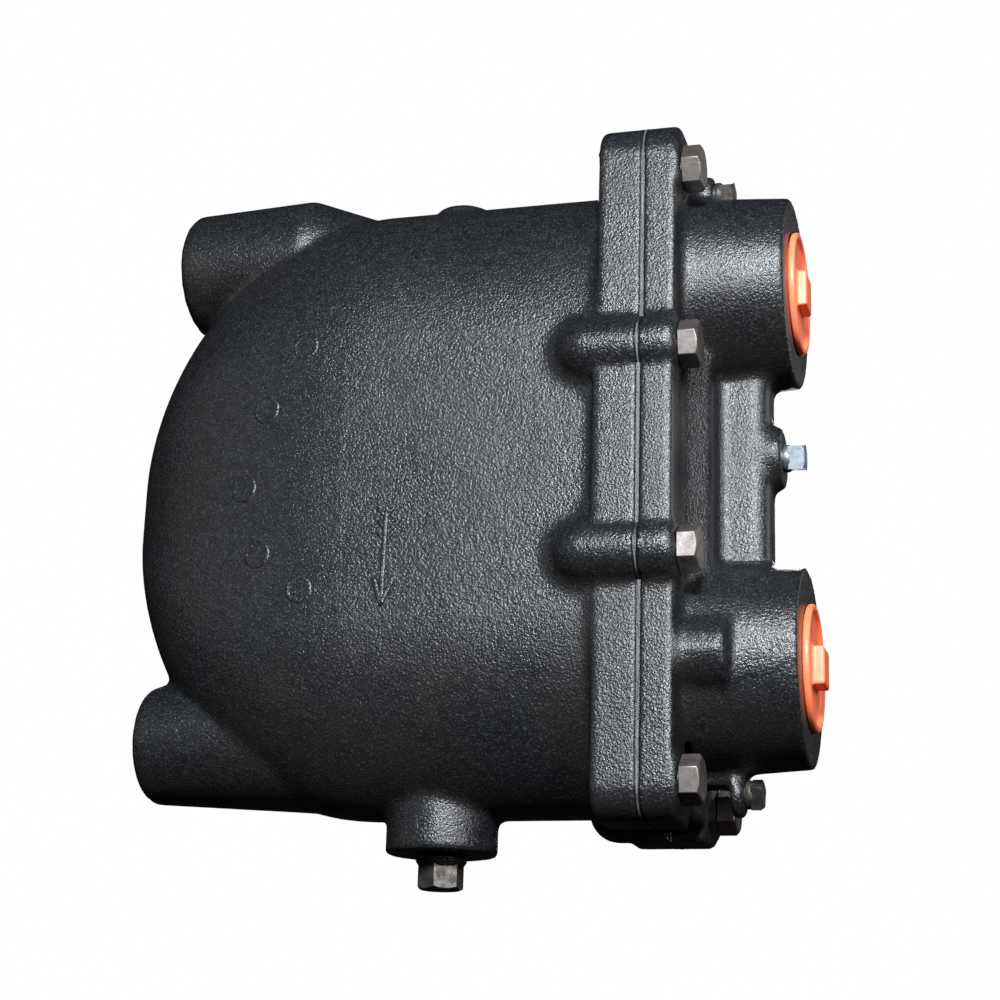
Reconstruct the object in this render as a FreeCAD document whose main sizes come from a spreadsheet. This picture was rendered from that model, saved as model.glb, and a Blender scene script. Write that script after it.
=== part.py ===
"""Float and thermostatic steam trap, 1 1/2 in, cast iron, with its inner working parts.

The sizes below are taken from the gasket's centre: x runs out through the cover and its two ports,
y runs away from the front, z runs up. Every piece is then placed so that the part's own origin is
the centre of the inlet port's face.
"""
import FreeCAD, Part
import math
import os
import re
from FreeCAD import Placement, Rotation, Vector

os.makedirs("parts", exist_ok=True)
doc = FreeCAD.newDocument("SteamTrap")
sheet = doc.addObject("Spreadsheet::Sheet", "Sizes")

SIZES = {
    # frame: where the gasket's centre lies, seen from the inlet port's face
    "gasket_x": -55, "gasket_z": -80,
    # flanges, their shared outline and the gasket between them
    "gasket_half": 0.75, "body_flange_back": -19, "cover_face": 13.75,
    "flange_half_width": 52, "flange_top": 143, "flange_bottom": -146, "top_corner": 17,
    "bottom_corner": 13, "waist_half_width": 57, "lug_radius": 12.5, "lug_back": -35,
    "low_lug_back": -39.5, "notch_half_width": 16, "notch_depth": 6,
    # cover bolts and the pads they sit on
    "corner_bolt_y": 42, "top_bolt_z": 121.5, "bottom_bolt_z": -130.5, "side_bolt_y": 48.8,
    "side_bolt_z": 42.2, "bolt_radius": 5, "bolt_flats": 17, "bolt_head": 8, "bolt_end": -18.25,
    "bolt_clearance": 5.5, "tapped_end": -22, "pad_face": 15.5, "bolt_pad_radius": 10,
    # body shell: an upright oval barrel that closes in a dome
    "barrel_radius": 50, "barrel_half_height": 133.5, "barrel_rise": 78, "barrel_z": -5.7,
    "dome_start": -120, "dome_length": 112.5, "wall": 6, "floor_z": -84,
    "core_back": -260, "core_front": 10, "core_half_width": 70, "core_bottom": -170,
    # spare ports at the back of the body, drain boss and top pad
    "spare_inlet_face": -216, "spare_inlet_bore_end": -140, "spare_inlet_z": 109.3,
    "spare_inlet_radius": 27.8,
    "spare_crest": -158, "spare_crest_radius": 30.2, "spare_root": -115, "spare_root_radius": 31.5,
    "spare_outlet_face": -222.5, "spare_outlet_z": -105.8, "spare_outlet_radius": 25,
    "spare_end_radius": 14, "spare_thread_radius": 15.2, "spare_thread_depth": 22,
    "spare_bore": 14, "drain_x": -91.4, "drain_boss_radius": 22.8, "drain_boss_z": -153,
    "drain_radius": 8.2, "drain_pillar_radius": 11.5, "pad_radius": 12, "pad_height": 2.5,
    # outlet passage under the float chamber
    "passage_radius": 15, "passage_half_width": 30, "passage_start": -155, "mouth_wall": 6.5,
    # cover: raised back, ports, column and bosses
    "raise_radius": 36, "raise_half_height": 126, "raise_top_radius": 26, "raise_top_half_height": 115,
    "raise_face": 24, "port_z": 80, "inlet_face": 55, "outlet_face": 59, "port_radius": 40,
    "port_root_radius": 43, "port_thread_radius": 22, "port_thread_depth": 27, "port_mouth_radius": 24.8,
    "port_mouth_depth": 3.5, "inlet_throat": 20.5, "outlet_cavity_radius": 33, "partition_face": 9,
    "outlet_mouth_depth": 14, "cavity_gap": 4,
    "column_face": 44.5, "column_half_width": 13, "column_half_height": 48,
    "column_corner": 6, "side_boss_y": -35.5, "side_boss_z": -81, "side_boss_radius": 14,
    "side_boss_face": 33,
    # cover plugs
    "top_plug_z": 128, "top_boss_radius": 8.5, "top_boss_face": 21.5, "middle_plug_z": 8,
    "middle_boss_radius": 13, "middle_boss_face": 49.5, "bottom_plug_z": -130, "bottom_boss_radius": 11,
    "bottom_boss_tip": 8, "bottom_boss_back": 28, "bottom_boss_face": 33.5,
    "boss_web_half_width": 7, "boss_web_bottom": -127.5, "boss_web_overlap": 5,
    "plug_radius": 4.2, "plug_depth": 12, "short_plug_depth": 4.5,
    "plug_square": 9.5, "top_plug_head": 5.2, "middle_plug_head": 6.2,
    "bottom_plug_head": 4, "plug_collar": 2.5, "plug_collar_radius": 5.7,
    # thread protectors and drain plug
    "protector_disc": 25.6, "protector_rim": 2.8, "protector_skirt": 21.9, "protector_bore": 19.6,
    "protector_depth": 17, "protector_dish": 22.6, "protector_dish_depth": 1.6, "protector_web": 2,
    "protector_square": 15.5, "inlet_protector_head": 5.5, "outlet_protector_head": 6.5,
    "drain_collar_radius": 10.7, "drain_collar": 4.5, "drain_flats": 16.5, "drain_head": 9.5,
    "drain_shank": 16,
    # main valve
    "seat_z": -62, "seat_thread_radius": 14, "seat_end": 12, "seat_orifice": 8, "seat_flange_radius": 19,
    "seat_flange_face": -6.75, "seat_lip_radius": 12, "seat_lip": -9, "seat_gasket_radius": 18,
    "head_radius": 11, "head_x": -16.9, "head_neck_radius": 8, "head_stem_radius": 4, "head_stem_end": -41,
    "nut_flats": 12, "nut_thickness": 4.3,
    # pivot frame, pin and lever
    "pivot_x": -17, "pivot_z": -36, "pin_radius": 3, "pin_half_length": 16.5, "pin_running": 0.05,
    "pin_bore_reach": 20, "cheek_inside": 11, "cheek_outside": 13.5, "cheek_half_height": 8,
    "frame_plate": -2.25, "frame_half_width": 26, "frame_top": -18, "frame_bottom": -42.6,
    "frame_screw_y": 20, "frame_screw_z": -28, "screw_radius": 2.5, "screw_head_radius": 4.2,
    "screw_head": 3, "screw_end": 11, "clip_radius": 5.6, "clip_thickness": 1, "clip_gap": 0.3,
    "hub_radius": 8, "hub_half_width": 10.7, "side_plate_inside": 6, "side_plate_outside": 9,
    "yoke_back": -36, "yoke_front": -29, "yoke_bottom": -72, "arm_half_height": 4, "tab_front": -70,
    "tab_back": -74,
    # float and its screw
    "float_radius": 41, "float_x": -118, "float_z": -38, "float_wall": 1, "float_boss_radius": 8,
    "float_boss_depth": 12, "float_screw_radius": 3, "float_screw_flats": 10, "float_screw_head": 4,
    "float_screw_length": 10,
    # thermostatic air vent
    "vent_z": 22, "vent_gasket_face": -0.25, "vent_thread_radius": 8, "vent_end": 16,
    "vent_orifice": 3, "vent_flange_radius": 11, "vent_flange_face": -5, "vent_gasket_radius": 10.5,
    "vent_duct_x": 24, "vent_duct_radius": 6, "vent_duct_rise": 20,
    "cage_radius": 17.5, "cage_inside": 15.8, "cage_end": -25.5, "cage_floor": -24,
    "cage_ear_y": 24, "cage_ear_radius": 6, "cage_ear_face": -1.25, "cage_window": 9,
    "capsule_radius": 15.4, "capsule_back": -22, "capsule_front": -14, "capsule_bore": 2.1,
    "capsule_bore_depth": 5, "vent_stem_radius": 2, "vent_disc_radius": 4.5, "vent_disc_back": -7.9,
    "vent_disc_front": -6.5, "vent_stem_end": -17.7, "spring_inside": 9, "spring_outside": 13.5,
}
for row, (alias, number) in enumerate(SIZES.items(), start=1):
    sheet.set(f"A{row}", alias)
    sheet.set(f"B{row}", str(number))
    sheet.setAlias(f"B{row}", alias)
doc.recompute()

TURN = {
    "x": Rotation(Vector(0, 1, 0), 90),
    "y": Rotation(Vector(1, 0, 0), -90),
    "z": Rotation(),
}
LEFT_RIGHT = (-1, 1)
BOLT_ROWS = (
    ("corner_bolt_y", "top_bolt_z"),
    ("corner_bolt_y", "bottom_bolt_z"),
    ("side_bolt_y", "side_bolt_z"),
    ("side_bolt_y", "-side_bolt_z"),
)
BOLT_PLACES = [(f"{side} * {y}", z) for y, z in BOLT_ROWS for side in LEFT_RIGHT]
SIDE_BOLTS = BOLT_PLACES[4:]
PIN_BORE = ("-pin_bore_reach", "pin_bore_reach")
DOME_STEPS = 9
DOME_LAST_TURN = math.radians(84)


def size(alias):
    return float(sheet.get(alias))


def spelled(formula):
    """The formula with every alias spelled the way the expression engine reads it."""
    return re.sub(r"[a-z]\w*", lambda w: f"Sizes.{w[0]}" if w[0] in SIZES else w[0], formula)


def bind(thing, **formulas):
    """Bind properties to formulas of the sheet's aliases."""
    for name, formula in formulas.items():
        thing.setExpression(name, spelled(formula))
    return thing


def put(thing, at, along="z", spin=0):
    """Turn a thing's own z axis along x, y or z and bind its place."""
    thing.Placement = Placement(Vector(), TURN[along] * Rotation(Vector(0, 0, 1), spin))
    for axis, formula in zip("xyz", at):
        thing.setExpression(f"Placement.Base.{axis}", spelled(formula))
    return thing


def rod(name, radius, start, end, y="0", z="0", along="x"):
    """A round bar from start to end. Its other two coordinates are y and z, or x and y if it is upright."""
    thing = doc.addObject("Part::Cylinder", name)
    bind(thing, Radius=radius, Height=f"({end}) - ({start})")
    at = {"x": (start, y, z), "y": (y, start, z), "z": (y, z, start)}[along]
    return put(thing, at, along)


def taper(name, start_radius, end_radius, start, end, y="0", z="0"):
    thing = doc.addObject("Part::Cone", name)
    bind(thing, Radius1=start_radius, Radius2=end_radius, Height=f"({end}) - ({start})")
    return put(thing, (start, y, z), "x")


def prism(name, sides, flats, start, end, y="0", z="0", along="x", spin=0):
    """A regular prism, given by its number of sides and its size across flats."""
    thing = doc.addObject("Part::Prism", name)
    thing.Polygon = sides
    bind(thing, Circumradius=f"({flats}) / 2 / cos(180 deg / {sides})", Height=f"({end}) - ({start})")
    at = {"x": (start, y, z), "z": (y, z, start)}[along]
    return put(thing, at, along, spin)


def hexagon(name, flats, start, end, y="0", z="0", along="x", spin=0):
    return prism(name, 6, flats, start, end, y, z, along, spin)


def ball(name, radius, at):
    thing = doc.addObject("Part::Sphere", name)
    bind(thing, Radius=radius)
    return put(thing, at)


def block(name, x, y, z):
    """A box given by its low and high formula along each axis."""
    thing = doc.addObject("Part::Box", name)
    spans = [f"({high}) - ({low})" for low, high in (x, y, z)]
    bind(thing, Length=spans[0], Width=spans[1], Height=spans[2])
    return put(thing, (x[0], y[0], z[0]))


def joined(name, things):
    thing = doc.addObject("Part::MultiFuse", name)
    thing.Shapes = things
    thing.Refine = True
    return thing


def cut(name, base, tools):
    thing = doc.addObject("Part::Cut", name)
    thing.Base = base
    thing.Tool = tools[0] if len(tools) == 1 else joined(f"{name}_tools", tools)
    thing.Refine = True
    return thing


def group(name, things):
    """Separate solids that share one node."""
    thing = doc.addObject("Part::Compound", name)
    thing.Links = things
    return thing


def both_sides(y):
    """A span of y formulas (inside, outside) on the left and on the right."""
    inside, outside = y
    return [(f"-({outside})", f"-({inside})"), (inside, outside)]


def oval_wire(x, radius, half_height, z, rise):
    """An upright oval in the plane at x: straight sides between two half ellipses as high as the rise."""
    reach = half_height - rise
    quarter = math.pi / 2
    edges = []
    for way in (1, -1):
        centre = Vector(x, 0, z + way * reach)
        tip = centre + Vector(0, 0, way * rise)
        side = centre + Vector(0, way * radius, 0)
        edges.append(Part.ArcOfEllipse(Part.Ellipse(tip, side, centre), -quarter, quarter).toShape())
        edges.append(Part.LineSegment(side, Vector(x, way * radius, z - way * reach)).toShape())
    return Part.Wire(edges)


def round_oval_wire(x, radius, half_height):
    """An upright oval in the plane at x with half circles at its ends."""
    reach = half_height - radius
    edges = []
    for way in (1, -1):
        centre = Vector(x, 0, way * reach)
        tip = centre + Vector(0, 0, way * radius)
        side = centre + Vector(0, way * radius, 0)
        back = centre - Vector(0, way * radius, 0)
        edges.append(Part.Arc(back, tip, side).toShape())
        edges.append(Part.LineSegment(side, Vector(x, way * radius, -way * reach)).toShape())
    return Part.Wire(edges)


def feature(name, shape):
    thing = doc.addObject("Part::Feature", name)
    thing.Shape = shape
    return thing


def barrel_wire(x, wall, share=1):
    """The body barrel's outline, shrunk by a wall and scaled by a share."""
    return oval_wire(x, (size("barrel_radius") - wall) * share, (size("barrel_half_height") - wall) * share,
                     size("barrel_z"), (size("barrel_rise") - wall) * share)


def barrel_bar(start, end, wall):
    """The barrel's outline carried along x."""
    return Part.Face(barrel_wire(start, wall)).extrude(Vector(end - start, 0, 0))


def domed_shell(name, start, wall):
    """The barrel, from start, closed by a dome whose outline is a quarter ellipse. A wall shrinks it."""
    dome_start = size("dome_start")
    length = size("dome_length") - wall
    wires = []
    for step in range(DOME_STEPS + 1):
        turn = DOME_LAST_TURN * step / DOME_STEPS
        x = dome_start - length * math.sin(turn)
        wires.append(barrel_wire(x, wall, math.cos(turn)))
    dome = Part.makeLoft(wires, True, False)
    return feature(name, barrel_bar(start, dome_start, wall).fuse(dome).removeSplitter())


def flange(name, start, end):
    """The outline that the body's flange, the gasket and the cover share."""
    pieces = [
        block(f"{name}_wide", (start, end), ("-flange_half_width", "flange_half_width"),
              ("flange_bottom + bottom_corner", "flange_top - top_corner")),
        block(f"{name}_waist", (start, end), ("-waist_half_width", "waist_half_width"),
              ("-side_bolt_z", "side_bolt_z")),
    ]
    notches = []
    for word, sign, span in (("top", "-", ("0", "flange_top")), ("bottom", "+", ("flange_bottom", "0"))):
        inner = f"(flange_half_width - {word}_corner)"
        edge = f"flange_{word}"
        pieces.append(block(f"{name}_{word}", (start, end), (f"-{inner}", inner), span))
        for n, side in enumerate(LEFT_RIGHT):
            pieces.append(rod(f"{name}_{word}_corner_{n}", f"{word}_corner", start, end,
                              f"{side} * {inner}", f"{edge} {sign} {word}_corner"))
        notches.append(block(f"{name}_{word}_notch", (start, end), ("-notch_half_width", "notch_half_width"),
                             (f"{edge} - notch_depth", f"{edge} + notch_depth")))
    for n, (y, z) in enumerate(SIDE_BOLTS):
        pieces.append(rod(f"{name}_lug_{n}", "lug_radius", start, end, y, z))
    return cut(f"{name}_plate", joined(f"{name}_solid", pieces), notches)


def bolt_holes(name, radius, start, end):
    return [rod(f"{name}_{n}", radius, start, end, y, z) for n, (y, z) in enumerate(BOLT_PLACES)]


def passage(name, start, end):
    """The flat oval outlet passage, low in the casting."""
    reach = "(passage_half_width - passage_radius)"
    low = "spare_outlet_z - passage_radius"
    high = "spare_outlet_z + passage_radius"
    return [block(f"{name}_flat", (start, end), (f"-{reach}", reach), (low, high))] + [
        rod(f"{name}_side_{n}", "passage_radius", start, end, f"{side} * {reach}", "spare_outlet_z")
        for n, side in enumerate(LEFT_RIGHT)
    ]


def chamber_mouth(name, start, end):
    """The float chamber's opening through a flange: an oval with a flat floor, clear of the side lugs."""
    oval = feature(f"{name}_oval", barrel_bar(start, end, size("mouth_wall")))
    keep_out = [block(f"{name}_floor", (f"{start - 1}", f"{end + 1}"),
                      ("-core_half_width", "core_half_width"), ("core_bottom", "floor_z"))]
    for n, (y, z) in enumerate(SIDE_BOLTS):
        keep_out.append(rod(f"{name}_lug_{n}", "lug_radius", f"{start - 1}", f"{end + 1}", y, z))
    return cut(name, oval, keep_out)


# ---------------------------------------------------------------- castings


def make_body():
    """Body casting: flange, barrel and dome, side lugs, spare ports, drain boss and outlet passage."""
    front = "-gasket_half"
    lugs = []
    for n, (y, z) in enumerate(SIDE_BOLTS):
        lugs.append(rod(f"body_lug_{n}", "lug_radius", "lug_back + lug_radius", front, y, z))
        lugs.append(ball(f"body_lug_end_{n}", "lug_radius", ("lug_back + lug_radius", y, z)))
    solid = joined("body_solid", [
        flange("body_flange", "body_flange_back", front),
        domed_shell("body_shell", -size("gasket_half"), 0),
        taper("spare_inlet_boss", "spare_inlet_radius", "spare_crest_radius", "spare_inlet_face",
              "spare_crest", z="spare_inlet_z"),
        taper("spare_inlet_blend", "spare_crest_radius", "spare_end_radius", "spare_crest", "spare_root",
              z="spare_inlet_z"),
        taper("spare_outlet_boss", "spare_outlet_radius", "spare_root_radius", "spare_outlet_face",
              "spare_root", z="spare_outlet_z"),
        rod("drain_boss", "drain_boss_radius", "drain_boss_z", "spare_outlet_z", "drain_x", "0", "z"),
        rod("top_pad", "pad_radius", "0", "barrel_z + barrel_half_height + pad_height",
            "drain_x", "0", "z"),
        rod("low_lug", "lug_radius", "low_lug_back + lug_radius", front, "corner_bolt_y", "bottom_bolt_z"),
        ball("low_lug_end", "lug_radius", ("low_lug_back + lug_radius", "corner_bolt_y", "bottom_bolt_z")),
        *lugs,
    ])
    chamber = cut("float_chamber", domed_shell("chamber_shell", 1, size("wall")), [
        block("chamber_floor", ("core_back", "core_front"), ("-core_half_width", "core_half_width"),
              ("core_bottom", "floor_z")),
        *[rod(f"chamber_lug_{n}", "lug_radius", "lug_back", "core_front", y, z)
          for n, (y, z) in enumerate(SIDE_BOLTS)],
    ])
    hollow = joined("body_hollow", [
        chamber,
        *passage("body_passage", "passage_start", "1"),
        rod("spare_inlet_bore", "spare_bore", "spare_inlet_face + 1", "spare_inlet_bore_end",
            z="spare_inlet_z"),
        rod("spare_outlet_bore", "spare_bore", "spare_outlet_face + 1", "passage_start + 1",
            z="spare_outlet_z"),
    ])
    cored = joined("body_cored", [
        cut("body_hollowed", solid, [hollow]),
        rod("drain_pillar", "drain_pillar_radius", "spare_outlet_z - passage_radius - 1",
            "spare_outlet_z + passage_radius + 1", "drain_x", "0", "z"),
    ])
    return cut("body", cored, [
        *bolt_holes("body_tapped", "bolt_radius", "tapped_end", "1"),
        rod("spare_inlet_thread", "spare_thread_radius", "spare_inlet_face - 1",
            "spare_inlet_face + spare_thread_depth", z="spare_inlet_z"),
        rod("spare_outlet_thread", "spare_thread_radius", "spare_outlet_face - 1",
            "spare_outlet_face + spare_thread_depth", z="spare_outlet_z"),
        rod("drain_bore", "drain_radius", "drain_boss_z - 1", "floor_z + 1", "drain_x", "0", "z"),
    ])


def make_cover():
    """Cover casting: flange, raised back, two ports, the column between them and the plug bosses."""
    face = "cover_face"
    low = round_oval_wire(size("cover_face") - 1, size("raise_radius"), size("raise_half_height"))
    high = round_oval_wire(size("raise_face"), size("raise_top_radius"), size("raise_top_half_height"))
    corner = "(column_half_width - column_corner)"
    tall = ("-column_half_height", "column_half_height")
    column = [
        block("column_deep", (face, "column_face"), (f"-{corner}", corner), tall),
        block("column_wide", (face, "column_face - column_corner"),
              ("-column_half_width", "column_half_width"), tall),
    ]
    for n, side in enumerate(LEFT_RIGHT):
        column.append(rod(f"column_corner_{n}", "column_corner", *tall, "column_face - column_corner",
                          f"{side} * {corner}", "z"))
    solid = joined("cover_solid", [
        flange("cover_flange", "gasket_half", face),
        feature("cover_raise", Part.makeLoft([low, high], True, True)),
        *column,
        taper("inlet_boss", "port_root_radius", "port_radius", face, "inlet_face", z="port_z"),
        taper("outlet_boss", "port_root_radius", "port_radius", face, "outlet_face", z="-port_z"),
        rod("top_plug_boss", "top_boss_radius", "gasket_half", "top_boss_face", z="top_plug_z"),
        rod("middle_plug_boss", "middle_boss_radius", face, "middle_boss_face", z="middle_plug_z"),
        taper("bottom_plug_boss", "bottom_boss_radius", "bottom_boss_tip", "bottom_boss_back",
              "bottom_boss_face", z="bottom_plug_z"),
        block("bottom_boss_web", (face, "bottom_boss_back + 2"),
              ("-boss_web_half_width", "boss_web_half_width"),
              ("boss_web_bottom", "-port_z - port_radius + boss_web_overlap")),
        *[rod(f"bolt_pad_{n}", "bolt_pad_radius", "gasket_half", "pad_face", y, z)
          for n, (y, z) in enumerate(BOLT_PLACES)],
        rod("side_boss", "side_boss_radius", face, "side_boss_face", "side_boss_y", "side_boss_z"),
    ])
    tools = [
        *bolt_holes("cover_clearance", "bolt_clearance", "0", "pad_face + 1"),
        rod("inlet_throat_bore", "inlet_throat", "0", "inlet_face", z="port_z"),
        rod("inlet_thread", "port_thread_radius", "inlet_face - port_thread_depth", "inlet_face + 1",
            z="port_z"),
        rod("inlet_mouth", "port_mouth_radius", "inlet_face - port_mouth_depth", "inlet_face + 1",
            z="port_z"),
        rod("outlet_cavity", "outlet_cavity_radius", "partition_face",
            "outlet_face - port_thread_depth - cavity_gap", z="-port_z"),
        rod("outlet_thread", "port_thread_radius", "outlet_face - port_thread_depth - cavity_gap - 1",
            "outlet_face + 1", z="-port_z"),
        rod("outlet_mouth", "port_mouth_radius", "outlet_face - port_mouth_depth", "outlet_face + 1",
            z="-port_z"),
        *passage("cover_passage", "0", "outlet_mouth_depth"),
        rod("seat_tapping", "seat_thread_radius", "0", "partition_face + 1", z="seat_z"),
        rod("vent_tapping", "vent_thread_radius", "0", "vent_duct_x", z="vent_z"),
        rod("vent_duct", "vent_duct_radius", "-port_z + vent_duct_rise", "vent_z + vent_duct_radius",
            "vent_duct_x", "0", "z"),
        rod("top_plug_tapping", "plug_radius", "top_boss_face - plug_depth", "top_boss_face + 1",
            z="top_plug_z"),
        rod("middle_plug_tapping", "plug_radius", "vent_duct_x", "middle_boss_face + 1",
            z="middle_plug_z"),
        rod("bottom_plug_tapping", "plug_radius", "bottom_boss_face - short_plug_depth",
            "bottom_boss_face + 1", z="bottom_plug_z"),
    ]
    for n, side in enumerate(LEFT_RIGHT):
        tools.append(rod(f"frame_tapping_{n}", "screw_radius", "0", "screw_end + 1",
                         f"{side} * frame_screw_y", "frame_screw_z"))
        tools.append(rod(f"cage_tapping_{n}", "screw_radius", "0", "screw_end + 1",
                         f"{side} * cage_ear_y", "vent_z"))
    return cut("cover", solid, tools)


def make_cover_gasket():
    """Flat gasket: the flange outline with the chamber, the outlet passage and the bolts open."""
    half = size("gasket_half")
    return cut("cover_gasket", flange("gasket", "-gasket_half", "gasket_half"), [
        chamber_mouth("gasket_mouth", -half - 1, half + 1),
        *passage("gasket_passage", "-2", "2"),
        *bolt_holes("gasket_hole", "bolt_clearance", "-2", "2"),
    ])


# ---------------------------------------------------------------- fasteners, plugs and protectors


def make_cover_bolts():
    """Hexagon bolts through the cover into the body. Each head stopped at its own angle."""
    angles = (25, 52, 8, 0, 14, 17, 1, 0)
    bolts = []
    for n, ((y, z), angle) in enumerate(zip(BOLT_PLACES, angles)):
        head = hexagon(f"bolt_head_{n}", "bolt_flats", "pad_face", "pad_face + bolt_head", y, z, "x",
                       angle)
        shank = rod(f"bolt_shank_{n}", "bolt_radius", "bolt_end", "pad_face", y, z)
        bolts.append(joined(f"bolt_{n}", [head, shank]))
    return group("cover_bolts", bolts)


def make_protector(label, face, z, head):
    """Plastic thread protector: skirt in the thread, dished cap over the port's face, square wrench head."""
    rim = f"{face} + protector_rim"
    dish = f"{rim} - protector_dish_depth"
    web = f"{dish} - protector_web"
    square = ("-protector_square / 2", "protector_square / 2")
    shell = cut(f"{label}_shell", joined(f"{label}_cup", [
        rod(f"{label}_disc", "protector_disc", face, rim, z=z),
        rod(f"{label}_skirt", "protector_skirt", f"{face} - protector_depth", rim, z=z),
    ]), [
        rod(f"{label}_inside", "protector_bore", f"{face} - protector_depth - 1", web, z=z),
        rod(f"{label}_dish", "protector_dish", dish, f"{rim} + 1", z=z),
    ])
    return joined(label, [
        shell,
        block(f"{label}_square", (web, f"{face} + {head}"), square,
              (f"({z}) - protector_square / 2", f"({z}) + protector_square / 2")),
    ])


def make_drain_plug():
    """Drain plug: threaded shank, round collar that tapers into a hexagon."""
    collar_end = "drain_boss_z - drain_collar"
    cone = doc.addObject("Part::Cone", "drain_plug_collar")
    bind(cone, Radius1="drain_flats / 2 + 0.4", Radius2="drain_collar_radius", Height="drain_collar")
    put(cone, ("drain_x", "0", collar_end))
    return joined("drain_plug", [
        rod("drain_plug_shank", "drain_radius", "drain_boss_z", "drain_boss_z + drain_shank", "drain_x",
            "0", "z"),
        cone,
        hexagon("drain_plug_head", "drain_flats", f"{collar_end} - drain_head", collar_end, "drain_x", "0",
                "z", 30),
    ])


def make_cover_plug(place, face, depth, angle):
    """Small pipe plug in a cover boss: threaded shank, round collar and square head."""
    label = f"cover_{place}_plug"
    z = f"{place}_plug_z"
    return joined(label, [
        rod(f"{label}_shank", "plug_radius", f"{face} - {depth} + 1", face, z=z),
        rod(f"{label}_collar", "plug_collar_radius", face, f"{face} + plug_collar", z=z),
        prism(f"{label}_head", 4, "plug_square", f"{face} + plug_collar",
              f"{face} + plug_collar + {place}_plug_head", "0", z, "x", angle),
    ])


# ---------------------------------------------------------------- main valve


def make_valve_seat():
    solid = joined("valve_seat_solid", [
        rod("seat_thread", "seat_thread_radius", "-gasket_half", "seat_end", z="seat_z"),
        rod("seat_flange", "seat_flange_radius", "seat_flange_face", "-gasket_half", z="seat_z"),
        rod("seat_nozzle", "seat_lip_radius", "seat_lip", "seat_flange_face", z="seat_z"),
    ])
    return cut("valve_seat", solid, [
        rod("seat_orifice_bore", "seat_orifice", "seat_lip - 1", "seat_end + 1", z="seat_z"),
    ])


def make_valve_seat_gasket():
    return cut("valve_seat_gasket", rod("seat_gasket_ring", "seat_gasket_radius", "-gasket_half",
                                        "gasket_half", z="seat_z"), [
        rod("seat_gasket_hole", "seat_thread_radius", "-2", "2", z="seat_z"),
    ])


def make_valve_head():
    """Ball-nosed valve head with the stem that holds it to the lever."""
    return joined("valve_head", [
        ball("head_nose", "head_radius", ("head_x", "0", "seat_z")),
        rod("head_neck", "head_neck_radius", "yoke_front", "head_x", z="seat_z"),
        rod("head_stem", "head_stem_radius", "head_stem_end", "yoke_front", z="seat_z"),
    ])


def make_valve_head_nut():
    return cut("valve_head_nut", hexagon("nut_hexagon", "nut_flats", "yoke_back - nut_thickness",
                                         "yoke_back", "0", "seat_z"), [
        rod("nut_hole", "head_stem_radius", "yoke_back - nut_thickness - 1", "yoke_back + 1", z="seat_z"),
    ])


def make_pivot_frame():
    """Bracket on the cover: a back plate and two cheeks that carry the pivot pin."""
    cheek_height = ("pivot_z - cheek_half_height", "pivot_z + cheek_half_height")
    pieces = [block("frame_back", ("frame_plate", "gasket_half"), ("-frame_half_width", "frame_half_width"),
                    ("frame_bottom", "frame_top"))]
    for n, span in enumerate(both_sides(("cheek_inside", "cheek_outside"))):
        pieces.append(block(f"frame_cheek_{n}", ("pivot_x", "frame_plate"), span, cheek_height))
        pieces.append(rod(f"frame_eye_{n}", "cheek_half_height", *span, "pivot_x", "pivot_z", "y"))
    tools = [rod("frame_pin_hole", "pin_radius", *PIN_BORE, "pivot_x", "pivot_z", "y")]
    for n, side in enumerate(LEFT_RIGHT):
        tools.append(rod(f"frame_screw_hole_{n}", "screw_radius + 0.3", "-5", "5",
                         f"{side} * frame_screw_y", "frame_screw_z"))
    return cut("pivot_frame", joined("frame_solid", pieces), tools)


def make_screws(label, y, z, seat):
    """A pair of pan-head screws into the cover, one on each side."""
    screws = []
    for n, side in enumerate(LEFT_RIGHT):
        place = (f"{side} * {y}", z)
        screws.append(joined(f"{label}_{n}", [
            rod(f"{label}_head_{n}", "screw_head_radius", f"{seat} - screw_head", seat, *place),
            rod(f"{label}_shank_{n}", "screw_radius", seat, "screw_end", *place),
        ]))
    return group(label, screws)


def make_pivot_pin():
    return group("pivot_pin", [rod("pivot_pin_bar", "pin_radius", "-pin_half_length", "pin_half_length",
                                   "pivot_x", "pivot_z", "y")])


def make_pivot_pin_clips():
    clips = []
    for n, span in enumerate(both_sides(("cheek_outside + clip_gap",
                                         "cheek_outside + clip_gap + clip_thickness"))):
        ring = rod(f"clip_ring_{n}", "clip_radius", *span, "pivot_x", "pivot_z", "y")
        hole = rod(f"clip_hole_{n}", "pin_radius", *PIN_BORE, "pivot_x", "pivot_z", "y")
        slot = block(f"clip_slot_{n}", ("pivot_x - pin_radius / 2", "pivot_x + pin_radius / 2"),
                     PIN_BORE, ("pivot_z - clip_radius - 1", "pivot_z"))
        clips.append(cut(f"clip_{n}", ring, [hole, slot]))
    return group("pivot_pin_clips", clips)


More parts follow.
